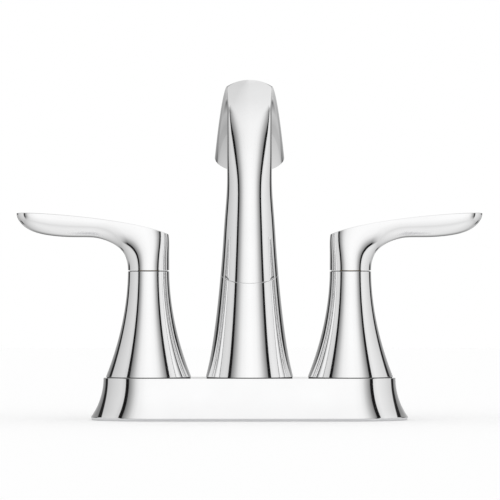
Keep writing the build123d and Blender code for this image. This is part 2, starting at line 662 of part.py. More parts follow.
for side, outward in SIDES.items():
    axis_x = outward * HALF_CENTRES
    profile = upright(axis_x, outward)
    turning_axis = vertical(axis_x)
    base_plane = Plane(origin=(axis_x, 0, 0), x_dir=(outward, 0, 0), z_dir=(0, 0, 1))

    with BuildPart() as mounting_nut:
        with BuildSketch(base_plane.offset(MOUNTING_NUT_TOP)):
            Circle(MOUNTING_NUT_R)
            with Locations((0, 0)):
                SlotOverall(WING_SPAN, WING_THICKNESS * 2, rotation=90)
        extrude(amount=-MOUNTING_NUT_HEIGHT)
        with BuildSketch(base_plane.offset(MOUNTING_NUT_TOP)):
            Circle(SHANK_R + THREAD_FIT)
        extrude(amount=-MOUNTING_NUT_HEIGHT, mode=Mode.SUBTRACT)
    save(mounting_nut, f"{side}_mounting_nut")

    with BuildPart() as valve_locknut:
        with BuildSketch(base_plane.offset(PLATE_HEIGHT)):
            RegularPolygon(LOCKNUT_FLATS / 2, 6, major_radius=False)
            Circle(CUP_R + THREAD_FIT, mode=Mode.SUBTRACT)
        extrude(amount=LOCKNUT_HEIGHT)
    save(valve_locknut, f"{side}_valve_locknut")

    with BuildPart() as seat_seal:
        with BuildSketch(base_plane.offset(CUP_FLOOR)):
            Circle(DISC_R)
            Circle(SEAL_BORE_R, mode=Mode.SUBTRACT)
        extrude(amount=SEAL_THICKNESS)
    save(seat_seal, f"{side}_seat_seal")

    with BuildPart() as fixed_disc:
        with BuildSketch(base_plane.offset(fixed_disc_bottom)):
            Circle(DISC_R)
            add(wedge_ports(), mode=Mode.SUBTRACT)
        extrude(amount=DISC_THICKNESS)
    save(fixed_disc, f"{side}_fixed_disc")

    with BuildPart() as moving_disc:
        with BuildSketch(base_plane.offset(moving_disc_bottom)):
            Circle(DISC_R)
            add(wedge_ports(), rotation=90, mode=Mode.SUBTRACT)
        extrude(amount=DISC_THICKNESS)
        with BuildSketch(base_plane.offset(moving_disc_top)):
            Rectangle(2 * DISC_R, TONGUE_WIDTH + 2 * THREAD_FIT)
        extrude(amount=-TONGUE_DEPTH, mode=Mode.SUBTRACT)
    save(moving_disc, f"{side}_moving_disc")

    with BuildPart() as stem:
        with BuildSketch(base_plane.offset(tongue_bottom)):
            Circle(STEM_HEAD_R)
            Rectangle(2 * STEM_HEAD_R, TONGUE_WIDTH, mode=Mode.INTERSECT)
        extrude(amount=STEM_HEAD_BOTTOM - tongue_bottom)
        with BuildSketch(base_plane.offset(STEM_HEAD_BOTTOM)):
            Circle(STEM_HEAD_R)
        extrude(amount=STEM_HEAD_HEIGHT)
        with BuildSketch(base_plane.offset(stem_head_top)):
            Circle(STEM_R)
        extrude(amount=handle_foot - stem_head_top)
        with BuildSketch(base_plane.offset(handle_foot)):
            add(spline_sketch())
        extrude(amount=SPLINE_LENGTH)
        with BuildSketch(base_plane.offset(STEM_RING_Z)):
            Circle(STEM_R + CUT_SPARE)
            Circle(stem_groove_r, mode=Mode.SUBTRACT)
        extrude(amount=STEM_RING_CORD_R + SEAL_FIT, both=True, mode=Mode.SUBTRACT)
    save(stem, f"{side}_stem")

    with BuildPart() as stem_o_ring:
        ring_r = stem_groove_r + SEAL_FIT + STEM_RING_CORD_R
        add(o_ring(STEM_RING_CORD_R, ring_r, Location((axis_x, 0, STEM_RING_Z))))
    save(stem_o_ring, f"{side}_stem_o_ring")

    with BuildPart() as cartridge_sleeve:
        with BuildSketch(profile):
            with BuildLine():
                Polyline(
                    (sleeve_bore_r, sleeve_foot),
                    (SLEEVE_R, sleeve_foot),
                    (SLEEVE_R, CUP_TOP),
                    (SLEEVE_FLANGE_R, CUP_TOP),
                    (SLEEVE_FLANGE_R, flange_top),
                    (SLEEVE_NECK_R, flange_top),
                    (SLEEVE_NECK_R, SLEEVE_NECK_TOP),
                    (stem_bore_r, SLEEVE_NECK_TOP),
                    (stem_bore_r, sleeve_shoulder),
                    (sleeve_bore_r, sleeve_shoulder),
                    close=True,
                )
            make_face()
        revolve(axis=turning_axis)
        with BuildSketch(base_plane.offset(SLEEVE_RING_Z)):
            Circle(SLEEVE_R + CUT_SPARE)
            Circle(sleeve_groove_r, mode=Mode.SUBTRACT)
        extrude(amount=SLEEVE_RING_CORD_R + SEAL_FIT, both=True, mode=Mode.SUBTRACT)
        with BuildSketch(base_plane.offset(window_z)):
            Rectangle(3 * SLEEVE_R, WINDOW_WIDTH)
        extrude(amount=WINDOW_HEIGHT / 2, both=True, mode=Mode.SUBTRACT)
    save(cartridge_sleeve, f"{side}_cartridge_sleeve")

    with BuildPart() as sleeve_o_ring:
        ring_r = sleeve_groove_r + SEAL_FIT + SLEEVE_RING_CORD_R
        add(o_ring(SLEEVE_RING_CORD_R, ring_r, Location((axis_x, 0, SLEEVE_RING_Z))))
    save(sleeve_o_ring, f"{side}_sleeve_o_ring")

    with BuildPart() as bonnet_nut:
        with BuildSketch(base_plane.offset(bonnet_bottom)):
            RegularPolygon(BONNET_FLATS / 2, 6, major_radius=False)
            Circle(CUP_R + THREAD_FIT, mode=Mode.SUBTRACT)
        extrude(amount=flange_top - bonnet_bottom)
        with BuildSketch(base_plane.offset(flange_top)):
            RegularPolygon(BONNET_FLATS / 2, 6, major_radius=False)
            Circle(SLEEVE_NECK_R + THREAD_FIT, mode=Mode.SUBTRACT)
        extrude(amount=BONNET_WEB)
    save(bonnet_nut, f"{side}_bonnet_nut")

    with BuildPart() as hub_gasket:
        with BuildSketch(base_plane.offset(PLATE_HEIGHT)):
            Circle(HUB_FOOT_R - GASKET_INSET)
            Circle(locknut_corner_r + LOCKNUT_HOLE_FIT, mode=Mode.SUBTRACT)
        extrude(amount=GASKET_THICKNESS)
    save(hub_gasket, f"{side}_hub_gasket")

    with BuildPart() as hub:
        web_top = HUB_WEB_BOTTOM + HUB_WEB_HEIGHT
        cap_bottom = HUB_TOP - HUB_TOP_WEB
        ring_hole_r = GLIDE_RING_R + THREAD_FIT
        neck_hole_r = SLEEVE_NECK_R + THREAD_FIT
        with BuildSketch(profile):
            with BuildLine():
                outer = Spline(*hub_curve(gasket_top, HUB_TOP))
                upper = Spline(*hub_curve(web_top, cap_bottom, HUB_WALL))
                lower = Spline(*hub_curve(gasket_top, HUB_WEB_BOTTOM, HUB_WALL))
                Polyline(outer @ 1, (ring_hole_r, HUB_TOP), (ring_hole_r, cap_bottom), upper @ 1)
                Polyline(upper @ 0, (neck_hole_r, web_top), (neck_hole_r, HUB_WEB_BOTTOM), lower @ 1)
                Line(lower @ 0, outer @ 0)
            make_face()
        revolve(axis=turning_axis)
    save(hub, f"{side}_hub")

    with BuildPart() as glide_ring:
        with BuildSketch(base_plane.offset(cap_bottom)):
            Circle(GLIDE_RING_R)
        extrude(amount=HUB_TOP_WEB)
        with BuildSketch(base_plane.offset(HUB_TOP)):
            Circle(GLIDE_FLANGE_R)
        extrude(amount=GLIDE_FLANGE_HEIGHT)
        with BuildSketch(base_plane.offset(cap_bottom)):
            Circle(stem_bore_r)
        extrude(amount=HUB_TOP_WEB + GLIDE_FLANGE_HEIGHT, mode=Mode.SUBTRACT)
    save(glide_ring, f"{side}_glide_ring")

    with BuildPart() as handle:
        with BuildSketch(fan_plane(axis_x, outward, 180, PIVOT_REACH)):
            add(oval(HUB_TOP_R, ROUND_SHARE * HUB_TOP_R, HUB_TOP_R))
        for angle, near, widest, far, half_width in NECK_SECTIONS:
            with BuildSketch(fan_plane(axis_x, outward, angle, widest)):
                add(oval(widest - near, far - widest, half_width))
        for reach, under, widest, half_width in LEVER_SECTIONS:
            section_plane = Plane(
                origin=(axis_x + outward * reach, 0, handle_foot + widest),
                x_dir=(0, 0, 1),
                z_dir=(outward, 0, 0),
            )
            with BuildSketch(section_plane):
                add(oval(widest - under, LEVER_SPARE, half_width))
        loft()
        with BuildSketch(profile):
            with BuildLine():
                top_line = Bezier(*[(reach, handle_foot + height) for reach, height in TOP_LINE])
                above = LEVER_TIP * 2
                Polyline(top_line @ 1, (above, (top_line @ 1).Y), (above, above * 2), (-above, above * 2),
                         (-above, (top_line @ 0).Y), top_line @ 0)
            make_face()
        extrude(amount=HUB_TOP_R * 2, both=True, mode=Mode.SUBTRACT)
        top_edges = handle.faces().filter_by(GeomType.EXTRUSION).edges()
        fillet([edge for edge in top_edges if abs(edge.center().Y) > HANDLE_EDGE_R], HANDLE_EDGE_R)
        with BuildSketch(base_plane.offset(handle_foot)):
            add(spline_sketch(THREAD_FIT))
        extrude(amount=SPLINE_LENGTH + SPLINE_END_GAP, mode=Mode.SUBTRACT)
        screw_seat = (axis_x + outward * SPLINE_R, 0, handle_foot + SET_SCREW_HEIGHT)
        screw_plane = Plane(origin=screw_seat, x_dir=(0, 1, 0), z_dir=(outward, 0, 0))
        with BuildSketch(screw_plane.offset(-SPLINE_R / 2)):
            Circle(SET_SCREW_R + THREAD_FIT)
        extrude(amount=2 * HUB_TOP_R, mode=Mode.SUBTRACT)
    save(handle, f"{side}_handle")

    with BuildPart() as set_screw:
        with BuildSketch(screw_plane.offset(THREAD_FIT)):
            Circle(SET_SCREW_R)
        extrude(amount=SET_SCREW_LENGTH)
        with BuildSketch(screw_plane.offset(THREAD_FIT + SET_SCREW_LENGTH)):
            RegularPolygon(SET_SCREW_HEX / 2, 6, major_radius=False)
        extrude(amount=-SET_SCREW_LENGTH / 2, mode=Mode.SUBTRACT)
    save(set_screw, f"{side}_set_screw")
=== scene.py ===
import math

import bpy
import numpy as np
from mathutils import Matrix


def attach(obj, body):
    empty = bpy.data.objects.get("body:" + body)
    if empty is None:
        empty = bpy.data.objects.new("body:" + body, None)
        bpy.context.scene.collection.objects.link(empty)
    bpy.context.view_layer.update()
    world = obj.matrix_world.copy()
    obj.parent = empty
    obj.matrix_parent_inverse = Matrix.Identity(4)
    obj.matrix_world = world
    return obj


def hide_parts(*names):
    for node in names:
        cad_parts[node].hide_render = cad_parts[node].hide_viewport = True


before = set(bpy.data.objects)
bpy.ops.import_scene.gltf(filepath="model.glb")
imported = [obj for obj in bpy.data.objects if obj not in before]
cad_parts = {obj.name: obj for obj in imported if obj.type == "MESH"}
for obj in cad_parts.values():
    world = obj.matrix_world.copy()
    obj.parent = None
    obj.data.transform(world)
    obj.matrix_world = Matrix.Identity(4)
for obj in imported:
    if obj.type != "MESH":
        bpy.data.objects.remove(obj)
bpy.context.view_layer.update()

# %% [markdown]
# A chrome bathroom faucet, seen from behind, dressed around its CAD model.
#
# Chrome has no colour of its own. What the eye reads as its form is the studio mirrored in it, so the
# work here is of two kinds: surfaces smooth enough to mirror cleanly, and a studio worth mirroring.
# The CAD nodes are fine for size, but they are flat facets, and facets break a reflection into
# splinters. Every polished piece is therefore made again as a smooth surface, worked out with numpy
# from the same measures, and every other piece keeps its CAD mesh and gets a finish.

# %% [markdown]
# Sizes are written in millimetres, as on the drawing, and become metres when a mesh is stored.
# A surface is a grid of points: rows along the piece, columns around it. Faces join each point to its
# neighbours, so one short function serves every shape.

# %% From a grid of points to a piece
MM = 0.001
WELD = 1e-7  # metres, points closer than this are one point
SHARP_ANGLE = math.radians(35)
EDGE_ROUND = 0.25  # mm, polished edges are never quite sharp
EDGE_SEGMENTS = 3


def ring_faces(rows, columns, close_rows):
    """Four corners of each face on a grid whose columns run in a ring, and its rows too if asked.

    Face (i, j) joins points (i, j), (i, j + 1), (i + 1, j + 1) and (i + 1, j), counted round the ring.
    """
    i = np.arange(rows if close_rows else rows - 1)[:, None]
    j = np.arange(columns)[None, :]
    up, on = (i + 1) % rows, (j + 1) % columns
    corners = (i * columns + j, i * columns + on, up * columns + on, up * columns + j)
    return np.stack(np.broadcast_arrays(*corners), axis=-1).reshape(-1, 4)


def enclosed_volume(points, faces):
    """Volume inside a closed mesh: a . (b x c) / 6, summed over both triangles of every face."""
    a, b, c, d = (points[faces[:, k]] for k in range(4))
    return (np.einsum("ij,ij->", a, np.cross(b, c)) + np.einsum("ij,ij->", a, np.cross(c, d))) / 6


def make_piece(name, grid, material, body, nodes, close_rows=False):
    """Make a closed shell of a grid (rows, columns, 3) in mm: welded, smooth, with soft edges."""
    rows, columns = grid.shape[:2]
    points = grid.reshape(-1, 3) * MM
    faces = ring_faces(rows, columns, close_rows)
    if enclosed_volume(points, faces) < 0:
        faces = faces[:, ::-1]
    mesh = bpy.data.meshes.new(name)
    mesh.vertices.add(len(points))
    mesh.vertices.foreach_set("co", points.ravel())
    mesh.loops.add(faces.size)
    mesh.loops.foreach_set("vertex_index", faces.ravel())
    mesh.polygons.add(len(faces))
    mesh.polygons.foreach_set("loop_start", np.arange(len(faces)) * 4)
    mesh.update(calc_edges=True)
    weld_points(mesh)
    mesh.shade_smooth()
    mesh.set_sharp_from_angle(angle=SHARP_ANGLE)
    mesh.materials.append(material)
    piece = bpy.data.objects.new(name, mesh)
    bpy.context.scene.collection.objects.link(piece)
    bevel = piece.modifiers.new("Soft edges", "BEVEL")
    bevel.width = EDGE_ROUND * MM
    bevel.segments = EDGE_SEGMENTS
    bevel.limit_method = "ANGLE"
    bevel.angle_limit = SHARP_ANGLE
    bevel.harden_normals = True
    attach(piece, body)
    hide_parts(*nodes)
    print(f"{name}: {len(mesh.polygons)} faces")


# %% [markdown]
# Where a ring shrinks to a point, as at a tip or a pole, the grid holds the same point many times.
# bmesh merges those and drops the faces that have no area left, which closes the pole.

# %% Closing the poles
import bmesh


def weld_points(mesh):
    """Merge points that coincide, in place."""
    work = bmesh.new()
    work.from_mesh(mesh)
    bmesh.ops.remove_doubles(work, verts=work.verts, dist=WELD)
    work.to_mesh(mesh)
    work.free()


# %% [markdown]
# Cast and plated parts have no breaks in their curvature, and a mirror shows any that a model has.
# A natural cubic spline is the smoothest curve through a few measured sections: its second derivative
# is continuous everywhere. One small linear system gives it, for any number of values at once.

# %% A curve through measured values
def spline(x, knots, values):
    """Natural cubic spline through (knots, values), read at x.

    Between two knots h apart, with shares a = (next - x) / h and b = 1 - a, the value is
    a y0 + b y1 + ((a^3 - a) m0 + (b^3 - b) m1) h^2 / 6, where the second derivatives m make the
    slopes agree at every knot and are 0 at both ends.
    """
    knots, values = np.asarray(knots, float), np.asarray(values, float)
    step = np.diff(knots)
    system = np.eye(len(knots))
    inner = np.arange(1, len(knots) - 1)
    system[inner, inner - 1] = step[:-1] / 6
    system[inner, inner] = (step[:-1] + step[1:]) / 3
    system[inner, inner + 1] = step[1:] / 6
    tail = (slice(None),) + (None,) * (values.ndim - 1)
    chords = np.diff(values, axis=0) / step[tail]
    bends = np.zeros_like(values)
    bends[1:-1] = np.diff(chords, axis=0)
    bends = np.linalg.solve(system, bends.reshape(len(knots), -1)).reshape(values.shape)
    i = np.clip(np.searchsorted(knots, x) - 1, 0, len(knots) - 2)
    h = step[i][tail]
    a = ((knots[i + 1] - x) / step[i])[tail]
    b = 1 - a
    straight = a * values[i] + b * values[i + 1]
    return straight + ((a**3 - a) * bends[i] + (b**3 - b) * bends[i + 1]) * h**2 / 6


# %% [markdown]
# A material is a small graph of nodes. Four helpers keep the graphs short to write: a new material, a
# node with its inputs, soft noise, and a mix of two colours. The noise reads the piece's own
# coordinates, so that a pattern stays put when a handle turns.

# %% Node helpers
NOISE_MIDDLE = (0.3, 0.7)  # the range that noise hardly ever leaves


def new_material(name):
    """An empty node material with an output, and its Principled shader."""
    material = bpy.data.materials.new(name)
    material.use_nodes = True
    nodes = material.node_tree.nodes
    nodes.clear()
    shader = nodes.new("ShaderNodeBsdfPrincipled")
    output = nodes.new("ShaderNodeOutputMaterial")
    material.node_tree.links.new(shader.outputs["BSDF"], output.inputs["Surface"])
    return material, shader


def add_node(tree, kind, inputs=None, **settings):
    """A node with its settings, and its inputs set to numbers or joined to other nodes' outputs."""
    node = tree.nodes.new(kind)
    for key, value in settings.items():
        setattr(node, key, value)
    for key, value in (inputs or {}).items():
        if isinstance(value, bpy.types.NodeSocket):
            tree.links.new(value, node.inputs[key])
        else:
            node.inputs[key].default_value = value
    return node


def add_noise(tree, scale, detail=2.0):
    """Soft noise in the piece's own coordinates. The scale is in features per metre."""
    place = add_node(tree, "ShaderNodeTexCoord")
    settings = {"Vector": place.outputs["Object"], "Scale": scale, "Detail": detail}
    return add_node(tree, "ShaderNodeTexNoise", settings).outputs["Fac"]


def spread(tree, source, low, high):
    """The noise's middle range stretched between two values."""
    dark, bright = NOISE_MIDDLE
    settings = {"Value": source, "From Min": dark, "From Max": bright, "To Min": low, "To Max": high}
    return add_node(tree, "ShaderNodeMapRange", settings).outputs["Result"]


def mix_colours(tree, source, first, second):
    """A colour between two, by a value from 0 to 1."""
    mix = add_node(tree, "ShaderNodeMix", data_type="RGBA")
    tree.links.new(source, mix.inputs[0])
    mix.inputs[6].default_value = (*first, 1)
    mix.inputs[7].default_value = (*second, 1)
    return mix.outputs[2]


# %% [markdown]
# Chrome plate is a metal that returns nearly all light, a little cooler than silver. Straight out of
# the buffing shop it is not perfectly even: the roughness drifts by a few hundredths, and the ground
# metal under the plate keeps a very shallow waviness that bends the reflected lines here and there.

# %% Polished chrome
CHROME_COLOUR = (0.95, 0.95, 0.952)
CHROME_SMEAR = (0.93, 0.93, 0.932)
SMEARS_PER_METRE = 60
SPECKS_PER_METRE = 140
CHROME_ROUGHNESS = (0.035, 0.065)
WAVES_PER_METRE = 45
WAVE_HEIGHT = 0.0004  # metres
WAVE_STRENGTH = 0.02

chrome, shader = new_material("polished_chrome")
tree = chrome.node_tree
shader.inputs["Metallic"].default_value = 1.0
drift = spread(tree, add_noise(tree, SMEARS_PER_METRE), 0.0, 1.0)
tree.links.new(mix_colours(tree, drift, CHROME_COLOUR, CHROME_SMEAR), shader.inputs["Base Color"])
specks = spread(tree, add_noise(tree, SPECKS_PER_METRE), *CHROME_ROUGHNESS)
tree.links.new(specks, shader.inputs["Roughness"])
swell = add_noise(tree, WAVES_PER_METRE, detail=0.0)
wave_settings = {"Height": swell, "Strength": WAVE_STRENGTH, "Distance": WAVE_HEIGHT}
waves = add_node(tree, "ShaderNodeBump", wave_settings)
tree.links.new(waves.outputs["Normal"], shader.inputs["Normal"])
print("chrome:", chrome.name)

# %% [markdown]
# The deck plate is a casting in the plan of a stadium: two half rounds joined by straight sides. Its
# wall rises from a thin upright lip in a hollow curve and ends upright under the top face. Carrying
# one profile round the stadium gives the whole shell, the outside, the top and the hollow underneath.

# %% Deck plate
HALF_CENTRES = 50.8
PLATE_HEIGHT = 21.2
PLATE_TOP_R = 22.7
LIP_R = 29.0
LIP_HEIGHT = 1.5
LIP_TUCK = 0.4  # how far the lip leans in towards the deck
PLATE_WALL = 2.5
PLATE_TOP_WALL = 3.0
RIM_R = 26.7
MOUNTING_INSET = 2.5
EDGE_ROW = 0.6  # how far in from an edge the next row of points lies
WALL_ROWS, INNER_ROWS, TOP_ROWS = 40, 12, 12
ALL_FAUCET = "faucet"


def hollow_arc(foot, top, count):
    """Points on the circle that ends upright at the top and passes through the foot.

    Its centre is level with the top, at a distance R outward with R = (dx^2 + dz^2) / (2 dx).
    """
    dx, dz = foot[0] - top[0], top[1] - foot[1]
    radius = (dx**2 + dz**2) / (2 * dx)
    angle = np.linspace(math.asin(dz / radius), 0, count)
    return np.stack((top[0] + radius * (1 - np.cos(angle)), top[1] - radius * np.sin(angle)), axis=-1)


def carry_round_stadium(profile, end_steps=48, side_steps=60):
    """Each profile point (r, z) goes round the stadium: r from the line between the two hole centres."""
    turn = np.linspace(-90, 90, end_steps, endpoint=False)
    side = np.linspace(1, -1, side_steps, endpoint=False)
    shift = np.concatenate((np.full(end_steps, 1.0), side, np.full(end_steps, -1.0), -side))
    back, front = np.full(side_steps, 90), np.full(side_steps, 270)
    angle = np.radians(np.concatenate((turn, back, turn + 180, front)))
    r, z = profile[:, :1], profile[:, 1:]
    x = HALF_CENTRES * shift + r * np.cos(angle)
    return np.stack((x, r * np.sin(angle), z + 0 * x), axis=-1)


outside = hollow_arc((LIP_R, LIP_HEIGHT), (PLATE_TOP_R, PLATE_HEIGHT), WALL_ROWS)
ceiling = PLATE_HEIGHT - PLATE_TOP_WALL
inner_foot, inner_top = (RIM_R - PLATE_WALL / 2, MOUNTING_INSET), (PLATE_TOP_R - PLATE_WALL, ceiling)
inside = hollow_arc(inner_foot, inner_top, INNER_ROWS)[::-1]
top_radii = np.linspace(PLATE_TOP_R - EDGE_ROW, 0, TOP_ROWS)
top_face = np.stack((top_radii, np.full(TOP_ROWS, PLATE_HEIGHT)), axis=-1)
under_face = np.array([(0, ceiling), (PLATE_TOP_R - PLATE_WALL - EDGE_ROW, ceiling)])
rim = np.array([(RIM_R, MOUNTING_INSET), (RIM_R, 0), (LIP_R - LIP_TUCK, 0)])
plate_profile = np.concatenate((outside, top_face, under_face, inside, rim))
make_piece("deck_plate_shell", carry_round_stadium(plate_profile), chrome, ALL_FAUCET,
           ["deck_plate"], close_rows=True)

# %% [markdown]
# Each hub is a bell: slim under the handle, spreading faster and faster towards the plate. A lathe
# turns it, so one half profile and a full turn are enough. The inside wall comes back down the same
# way, which makes the hub a shell with a real thickness at its foot.

# %% Hubs
HUB_FOOT_R = 21.5
HUB_TOP_R = 10.4
HUB_FOOT = 21.6
HUB_TOP = 74.8
HUB_FLARE = 1.88
HUB_WALL = 1.8
HUB_RING_HOLE_R = 7.3
HUB_CAP_BOTTOM = 72.2
HUB_ROWS, HUB_INNER_ROWS = 70, 30
SIDES = {"hot": -1, "cold": 1}


def hub_radius(z):
    """Outer radius of the bell: the slim radius, plus a spread that grows as a power of the drop."""
    return HUB_TOP_R + (HUB_FOOT_R - HUB_TOP_R) * ((HUB_TOP - z) / (HUB_TOP - HUB_FOOT)) ** HUB_FLARE


def turn_on_lathe(profile, x, count=160):
    """Each profile point (r, z) goes in a circle round an upright axis."""
    angle = np.radians(np.arange(count) * 360 / count)
    r, z = profile[:, :1], profile[:, 1:]
    return np.stack((x + r * np.cos(angle), r * np.sin(angle), z + 0 * r * angle), axis=-1)


heights = np.linspace(HUB_FOOT, HUB_TOP, HUB_ROWS)
bell = np.stack((hub_radius(heights), heights), axis=-1)
inner_heights = np.linspace(HUB_CAP_BOTTOM, HUB_FOOT, HUB_INNER_ROWS)
inner_bell = np.stack((hub_radius(inner_heights) - HUB_WALL, inner_heights), axis=-1)
hub_mouth = np.array([(HUB_RING_HOLE_R, HUB_TOP), (HUB_RING_HOLE_R, HUB_CAP_BOTTOM)])
for side, outward in SIDES.items():
    shell = turn_on_lathe(np.concatenate((bell, hub_mouth, inner_bell)), outward * HALF_CENTRES)
    make_piece(f"{side}_hub_bell", shell, chrome, ALL_FAUCET, [f"{side}_hub"], close_rows=True)

# %% [markdown]
# The spout is one form that changes its section on the way: round where it stands on the plate, then
# from the start of the arch a crowned top face with two crisp corners over a rounded underside, which
# fans out to the outlet. The line through the middle, the spine, goes straight up and then round an
# arc. The section's five measures are splines along that line, and the section itself is a formula.

# %% The spine and the measures along it
COLUMN_CURVE = np.array([(22.0, 21.6), (14.84, 47.9), (11.3, 114.8), (11.3, 132.0)])
ARCH_START = 99.0
ARCH_R = 64.0
ARCH_ANGLE = 150.0
COLUMN_CROWN = 33.0  # degrees, half angle of the crowned face, which the round column hides
ROUND_SHARE = 0.998  # corner radius of the round column, as a share of its radius
COLUMN_PART = 0.65  # share of the column's curve that gives knots: above it the arch's sections do
COLUMN_KNOTS = 8
# Arch sections: angle along the arch, half width, corner radius, height above and depth below the
# spine, half angle of the crowned face
ARCH_SECTIONS = np.array([
    (18, 11.30, 9.60, 11.25, 11.30, 33),
    (28, 11.30, 6.30, 11.15, 11.25, 31),
    (38, 11.25, 3.80, 10.95, 11.00, 26),
    (48, 11.25, 2.10, 10.75, 10.70, 21),
    (60, 11.27, 1.20, 10.50, 10.20, 22),
    (72, 11.45, 0.90, 10.20, 9.80, 27),
    (90, 12.10, 0.80, 10.00, 9.30, 33),
    (110, 13.70, 0.80, 10.20, 9.30, 33),
    (130, 15.90, 0.80, 10.80, 9.60, 33),
    (150, 18.20, 0.80, 11.50, 10.20, 33),
])
SPINE_LENGTH = ARCH_START + ARCH_R * math.radians(ARCH_ANGLE)


def bezier(control, t):
    """Cubic curve through its first and last control points, pulled towards the two between."""
    weights = np.stack(((1 - t) ** 3, 3 * t * (1 - t) ** 2, 3 * t**2 * (1 - t), t**3), axis=-1)
    return weights @ np.asarray(control, float)


column = bezier(COLUMN_CURVE, np.linspace(0, COLUMN_PART, COLUMN_KNOTS))
radius_shares = np.array([1, ROUND_SHARE, 1, 1, 0])
column_measures = column[:, :1] * radius_shares + np.array([0, 0, 0, 0, COLUMN_CROWN])
arch_knots = ARCH_START + ARCH_R * np.radians(ARCH_SECTIONS[:, 0])
spine_knots = np.concatenate((column[:, 1], arch_knots))
spine_values = np.concatenate((column_measures, ARCH_SECTIONS[:, 1:]))


def spine_frame(distance):
    """Centre and outward direction at a distance up the spine: straight, then an arc over the user."""
    turn = np.maximum(distance - ARCH_START, 0) / ARCH_R
    y = -ARCH_R + ARCH_R * np.cos(turn)
    z = np.minimum(distance, ARCH_START) + ARCH_R * np.sin(turn)
    return np.stack((0 * y, y, z), axis=-1), np.stack((0 * y, np.cos(turn), np.sin(turn)), axis=-1)


print("spine, mm:", round(SPINE_LENGTH, 1), "with", len(spine_knots), "sections")

# %% [markdown]
# All sections have the same number of points in the same order, so that a column of the grid is a
# line along the spout. The corners get as many points as the crown: they carry the crisp highlight.

# %% The section and the outer form
CROWN_STEPS, CORNER_STEPS, BELLY_STEPS = 28, 14, 84
SPOUT_ROWS = 420
ACROSS = np.array([1.0, 0, 0])  # the direction from the hot to the cold side


def arc_points(mid_x, mid_y, half_x, half_y, start, end, count):
    """Points (mid + half * cos, mid + half * sin) on an arc, for every row of the grid at once."""
    angle = start + (end - start) * np.arange(count) / count
    x, y = mid_x + half_x * np.cos(angle), mid_y + half_y * np.sin(angle)
    return np.stack((x, y), axis=-1)


def spout_sections(measures):
    """Crown arc, two corner arcs that touch it, and a half ellipse below, one section for each row."""
    width, corner_r, rise, drop, crown_angle = (measures[:, k:k + 1] for k in range(5))
    crown_angle = np.radians(crown_angle)
    sine, cosine = np.sin(crown_angle), np.cos(crown_angle)
    crown_r = (width - corner_r * (1 - sine)) / sine
    crown_mid = rise - crown_r
    corner_x = (crown_r - corner_r) * sine
    corner_y = crown_mid + (crown_r - corner_r) * cosine
    right_end, left_end = math.pi / 2 - crown_angle, math.pi / 2 + crown_angle
    level = 0 * width
    half_turn, full_turn = level + math.pi, level + 2 * math.pi
    return np.concatenate((
        arc_points(corner_x, corner_y, corner_r, corner_r, level, right_end, CORNER_STEPS),
        arc_points(level, crown_mid, crown_r, crown_r, right_end, left_end, CROWN_STEPS),
        arc_points(-corner_x, corner_y, corner_r, corner_r, left_end, half_turn, CORNER_STEPS),
        arc_points(level, corner_y, width, corner_y + drop, half_turn, full_turn, BELLY_STEPS),
    ), axis=1)


def spout_form(distance):
    """Points of the outer form on the sections at the given distances along the spine."""
    section = spout_sections(spline(distance, spine_knots, spine_values))
    centre, outward = spine_frame(distance)
    return centre[:, None] + section[..., :1] * ACROSS + section[..., 1:] * outward[:, None]


spout_stations = np.linspace(COLUMN_CURVE[0, 1], SPINE_LENGTH, SPOUT_ROWS)
outer_form = spout_form(spout_stations)
print("spout grid:", outer_form.shape, "span, mm:", np.ptp(outer_form.reshape(-1, 3), axis=0).round(1))

# %% [markdown]
# The column and the spout meet at an oblique seam. Each column of the grid is cut where its height
# above the seam plane changes sign, and its rows are spread again over what is left, so both pieces
# end exactly in that plane. Their softened edges meet there in a fine groove, as on the real joint.

# %% Cutting the form at the seam
SEAM_HEIGHT = 73.6
SEAM_TILT = math.radians(18.0)
SEAM_NORMAL = np.array([0, math.sin(SEAM_TILT), math.cos(SEAM_TILT)])
SEAM_GAP = 0.02  # mm, kept open on each side of the plane
BASE_ROWS, ARCH_ROWS = 90, 330


def along_columns(grid, start, end, count):
    """Spread rows evenly between a first and a last row position, which may differ for each column."""
    share = np.linspace(0, 1, count)[:, None]
    place = start + (end - start) * share
    low = np.clip(np.floor(place).astype(int), 0, len(grid) - 2)
    part = (place - low)[..., None]
    column_index = np.arange(grid.shape[1])[None, :]
    return grid[low, column_index] * (1 - part) + grid[low + 1, column_index] * part


def crossing_rows(grid, height):
    """Row position, with its fraction, at which each column reaches a height above the seam plane."""
    above = grid @ SEAM_NORMAL - SEAM_HEIGHT * SEAM_NORMAL[2] - height
    first = np.argmax(above > 0, axis=0)
    column_index = np.arange(grid.shape[1])
    low, high = above[first - 1, column_index], above[first, column_index]
    return first - 1 - low / (high - low)


def circles(radius, distance, angles):
    """A ring of the given radius across the spine at each distance, one point for each angle."""
    centre, outward = spine_frame(np.asarray(distance, float))
    radius = np.asarray(radius, float)[:, None, None]
    cosine, sine = np.cos(angles)[None, :, None], np.sin(angles)[None, :, None]
    return centre[:, None] + radius * (cosine * ACROSS + sine * outward[:, None])


section_angles = np.arctan2(outer_form[0, :, 1], outer_form[0, :, 0])
foot_row = 0 * section_angles
end_row = foot_row + SPOUT_ROWS - 1
base_rows = along_columns(outer_form, foot_row, crossing_rows(outer_form, -SEAM_GAP), BASE_ROWS)
spout_rows = along_columns(outer_form, crossing_rows(outer_form, SEAM_GAP), end_row, ARCH_ROWS)
print("base rows:", base_rows.shape, "spout rows:", spout_rows.shape)

# %% [markdown]
# Inside, the base has a round socket for the spigot of the spout and a hollow below it. The spout's
# end face holds a round pocket for the aerator, and a bore for the water tube runs back to the
# spigot. Rings of circles close both shells, so each piece is solid where the real one is.

